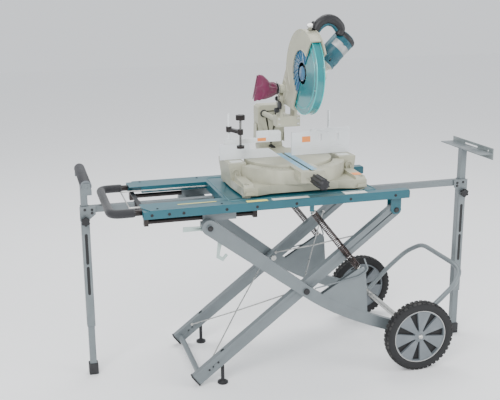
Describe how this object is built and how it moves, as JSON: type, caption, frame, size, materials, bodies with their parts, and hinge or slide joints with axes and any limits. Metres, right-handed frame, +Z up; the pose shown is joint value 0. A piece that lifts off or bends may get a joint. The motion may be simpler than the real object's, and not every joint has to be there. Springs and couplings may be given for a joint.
{
  "type": "mitre saw on stand",
  "caption": "Sliding compound mitre saw bolted to a wheeled scissor stand with extending work supports, a roller, a stop plate and a carrying handle.",
  "frame": {"origin": "centre of the footprint's bounding box, on the floor", "axes": "+X along the table, left to right seen from the user's side; +Y from the user's side to the back; +Z up"},
  "size_m": [1.826, 0.809, 1.5574],
  "materials": {
    "teal_steel": "satin paint",
    "dark_steel": "satin",
    "foam": "matt foam",
    "grey_tube": "satin paint",
    "black_plastic": "moulded",
    "zinc": "zinc plated",
    "spring_steel": "black",
    "tyre": "matt",
    "hub_grey": "moulded",
    "mint_steel": "satin",
    "roller_rubber": "matt",
    "cream_cast": "painted casting",
    "board": "moulded",
    "fence_alloy": "machined",
    "white_alloy": "satin",
    "polished_rod": "ground",
    "gear_alloy": "cast",
    "blue_cover": "gloss",
    "guard_teal": "translucent",
    "blade_steel": "ground",
    "teal_plastic": "moulded",
    "copper": "wound",
    "trigger_plastic": "moulded",
    "bag_cloth": "woven",
    "stop_plate": "satin"
  },
  "bodies": {
    "table": {"table_frame": "teal_steel", "leg_brackets": "teal_steel", "slide_rails": "dark_steel", "carry_handle": "dark_steel", "handle_grip": "foam", "tube_guides": "black_plastic", "saw_base": "cream_cast", "saw_bolts": "zinc", "fence_fixed": "fence_alloy"},
    "legs": {"legs": "grey_tube", "leg_caps": "black_plastic", "scissor_bolts": "zinc"},
    "foot_front": {"foot_front": "black_plastic"},
    "foot_rear": {"foot_rear": "black_plastic"},
    "arms": {"wheel_arms": "grey_tube", "kick_bar": "grey_tube", "axle": "zinc", "coil_springs": "spring_steel"},
    "wheel_front": {"tyre_front": "tyre", "hub_front": "hub_grey"},
    "wheel_rear": {"tyre_rear": "tyre", "hub_rear": "hub_grey"},
    "slider": {"slider": "grey_tube"},
    "release_loop": {"release_wire": "zinc"},
    "lock_lever": {"lock_lever": "mint_steel"},
    "release_hook": {"release_hook": "mint_steel"},
    "ext_left": {"ext_left": "grey_tube"},
    "ext_right": {"ext_right": "grey_tube"},
    "riser_left": {"riser_left": "grey_tube"},
    "riser_right": {"riser_right": "grey_tube", "stop_head": "stop_plate"},
    "lower_leg_left": {"lower_leg_left": "grey_tube"},
    "lower_leg_right": {"lower_leg_right": "grey_tube"},
    "knob_left": {"knob_left": "black_plastic"},
    "knob_right": {"knob_right": "black_plastic"},
    "roller": {"roller": "roller_rubber"},
    "turntable": {"turntable": "cream_cast", "kerf_boards": "board"},
    "mitre_grip": {"mitre_grip": "black_plastic"},
    "sub_fence": {"sub_fence": "white_alloy"},
    "vise_arm": {"vise_arm": "dark_steel"},
    "vise_screw": {"vise_screw": "dark_steel"},
    "bevel_post": {"bevel_post": "cream_cast"},
    "bevel_lever": {"bevel_lever": "black_plastic"},
    "carriage": {"slide_carriage": "cream_cast", "pivot_pin": "zinc"},
    "head": {"blade_case": "cream_cast", "gear_housing": "gear_alloy", "centre_cover": "blue_cover", "motor_housing": "teal_plastic", "stator": "copper", "bearings": "zinc", "handle": "black_plastic", "dust_bag": "bag_cloth"},
    "lower_guard": {"lower_guard": "guard_teal"},
    "spindle": {"blade": "blade_steel", "spindle": "zinc"},
    "armature": {"armature": "copper"},
    "trigger": {"trigger": "trigger_plastic"}
  },
  "joints": [
    {"name": "fold", "type": "hinge", "parent": "table", "child": "legs", "pos_m": [0.424, -0.0005, 0.719], "axis": [0, 1, 0], "range_deg": [0, 15], "deforming": ["coil_springs"]},
    {"name": "scissor", "type": "hinge", "parent": "legs", "child": "arms", "pos_m": [0.0065, -0.0005, 0.39905], "axis": [0, 1, 0], "range_deg": [-30, 0]},
    {"name": "slider_level", "type": "hinge", "parent": "arms", "child": "slider", "pos_m": [-0.411, -0.0005, 0.719], "axis": [0, 1, 0], "range_deg": [0, 15]},
    {"name": "foot_front_screw", "type": "slide", "parent": "legs", "child": "foot_front", "axis": [0, 0, 1], "range_m": [0, 0.02]},
    {"name": "foot_rear_screw", "type": "slide", "parent": "legs", "child": "foot_rear", "axis": [0, 0, 1], "range_m": [0, 0.02]},
    {"name": "wheel_front_spin", "type": "hinge", "parent": "arms", "child": "wheel_front", "pos_m": [0.513, -0.3175, 0.159], "axis": [0, 1, 0], "continuous": true},
    {"name": "wheel_rear_spin", "type": "hinge", "parent": "arms", "child": "wheel_rear", "pos_m": [0.513, 0.3165, 0.159], "axis": [0, 1, 0], "continuous": true},
    {"name": "release_pull", "type": "slide", "parent": "table", "child": "release_loop", "axis": [-1, 0, 0], "range_m": [0, 0.025]},
    {"name": "lever_turn", "type": "hinge", "parent": "slider", "child": "lock_lever", "pos_m": [-0.432, -0.2305, 0.711], "axis": [0, 1, 0], "range_deg": [0, 25]},
    {"name": "hook_turn", "type": "hinge", "parent": "arms", "child": "release_hook", "pos_m": [-0.36179, -0.2305, 0.67729], "axis": [0, 1, 0], "range_deg": [-18, 18]},
    {"name": "extend_left", "type": "slide", "parent": "table", "child": "ext_left", "axis": [-1, 0, 0], "range_m": [-0.04, 0.24]},
    {"name": "extend_right", "type": "slide", "parent": "table", "child": "ext_right", "axis": [1, 0, 0], "range_m": [0, 0.25]},
    {"name": "raise_left", "type": "slide", "parent": "ext_left", "child": "riser_left", "axis": [0, 0, 1], "range_m": [-0.05, 0.15]},
    {"name": "raise_right", "type": "slide", "parent": "ext_right", "child": "riser_right", "axis": [0, 0, 1], "range_m": [-0.05, 0.15]},
    {"name": "leg_left_slide", "type": "slide", "parent": "ext_left", "child": "lower_leg_left", "axis": [0, 0, 1], "range_m": [-0.03, 0.03]},
    {"name": "leg_right_slide", "type": "slide", "parent": "ext_right", "child": "lower_leg_right", "axis": [0, 0, 1], "range_m": [-0.03, 0.03]},
    {"name": "knob_left_turn", "type": "hinge", "parent": "ext_left", "child": "knob_left", "pos_m": [-0.89, 0.0295, 0.715], "axis": [0, 1, 0], "range_deg": [-90, 90]},
    {"name": "knob_right_turn", "type": "hinge", "parent": "ext_right", "child": "knob_right", "pos_m": [0.861, -0.0125, 0.715], "axis": [0, 1, 0], "range_deg": [-90, 90]},
    {"name": "roller_spin", "type": "hinge", "parent": "riser_left", "child": "roller", "pos_m": [-0.89, 0.0295, 0.902], "axis": [0, 1, 0], "continuous": true},
    {"name": "mitre", "type": "hinge", "parent": "table", "child": "turntable", "pos_m": [0.026, 0.0595, 0.925], "axis": [0, 0, 1], "range_deg": [-45, 45]},
    {"name": "mitre_grip_turn", "type": "hinge", "parent": "turntable", "child": "mitre_grip", "pos_m": [0.026, -0.2805, 0.899], "axis": [0, 1, 0], "range_deg": [-90, 90]},
    {"name": "bevel", "type": "hinge", "parent": "turntable", "child": "bevel_post", "pos_m": [0.026, 0.2945, 0.925], "axis": [0, -1, 0], "range_deg": [0, 45]},
    {"name": "bevel_lever_turn", "type": "hinge", "parent": "bevel_post", "child": "bevel_lever", "pos_m": [0.026, 0.3645, 0.925], "axis": [0, 1, 0], "range_deg": [-30, 30]},
    {"name": "sub_fence_slide", "type": "slide", "parent": "table", "child": "sub_fence", "axis": [-1, 0, 0], "range_m": [0, 0.245]},
    {"name": "vise_height", "type": "slide", "parent": "sub_fence", "child": "vise_arm", "axis": [0, 0, 1], "range_m": [0, 0.04]},
    {"name": "vise_clamp", "type": "slide", "parent": "vise_arm", "child": "vise_screw", "axis": [0, 0, 1], "range_m": [-0.038, 0.01]},
    {"name": "head_slide", "type": "slide", "parent": "bevel_post", "child": "carriage", "axis": [0, 1, 0], "range_m": [0, 0.191]},
    {"name": "chop", "type": "hinge", "parent": "carriage", "child": "head", "pos_m": [0.026, 0.0695, 1.185], "axis": [1, 0, 0], "range_deg": [0, 52], "deforming": ["dust_bag"]},
    {"name": "guard_swing", "type": "hinge", "parent": "head", "child": "lower_guard", "pos_m": [0.026, -0.1755, 1.317], "axis": [1, 0, 0], "range_deg": [-143, 0]},
    {"name": "blade_spin", "type": "hinge", "parent": "head", "child": "spindle", "pos_m": [0.026, -0.1755, 1.317], "axis": [1, 0, 0], "continuous": true},
    {"name": "armature_spin", "type": "hinge", "parent": "head", "child": "armature", "pos_m": [0.056, -0.1755, 1.317], "axis": [0.7071, 0, 0.7071], "continuous": true},
    {"name": "trigger_pull", "type": "slide", "parent": "head", "child": "trigger", "axis": [0, 0, 1], "range_m": [0, 0.0025], "stiffness_N_per_m": 1500}
  ],
  "couplings": [
    {"joint": "scissor", "follows": "fold", "ratio": -2},
    {"joint": "slider_level", "follows": "fold", "ratio": 1},
    {"joint": "sub_fence_slide", "follows": "bevel", "m_per_rad": 0.31193},
    {"joint": "guard_swing", "follows": "chop", "ratio": -2.69},
    {"joint": "armature_spin", "follows": "blade_spin", "ratio": -3.7574}
  ]
}
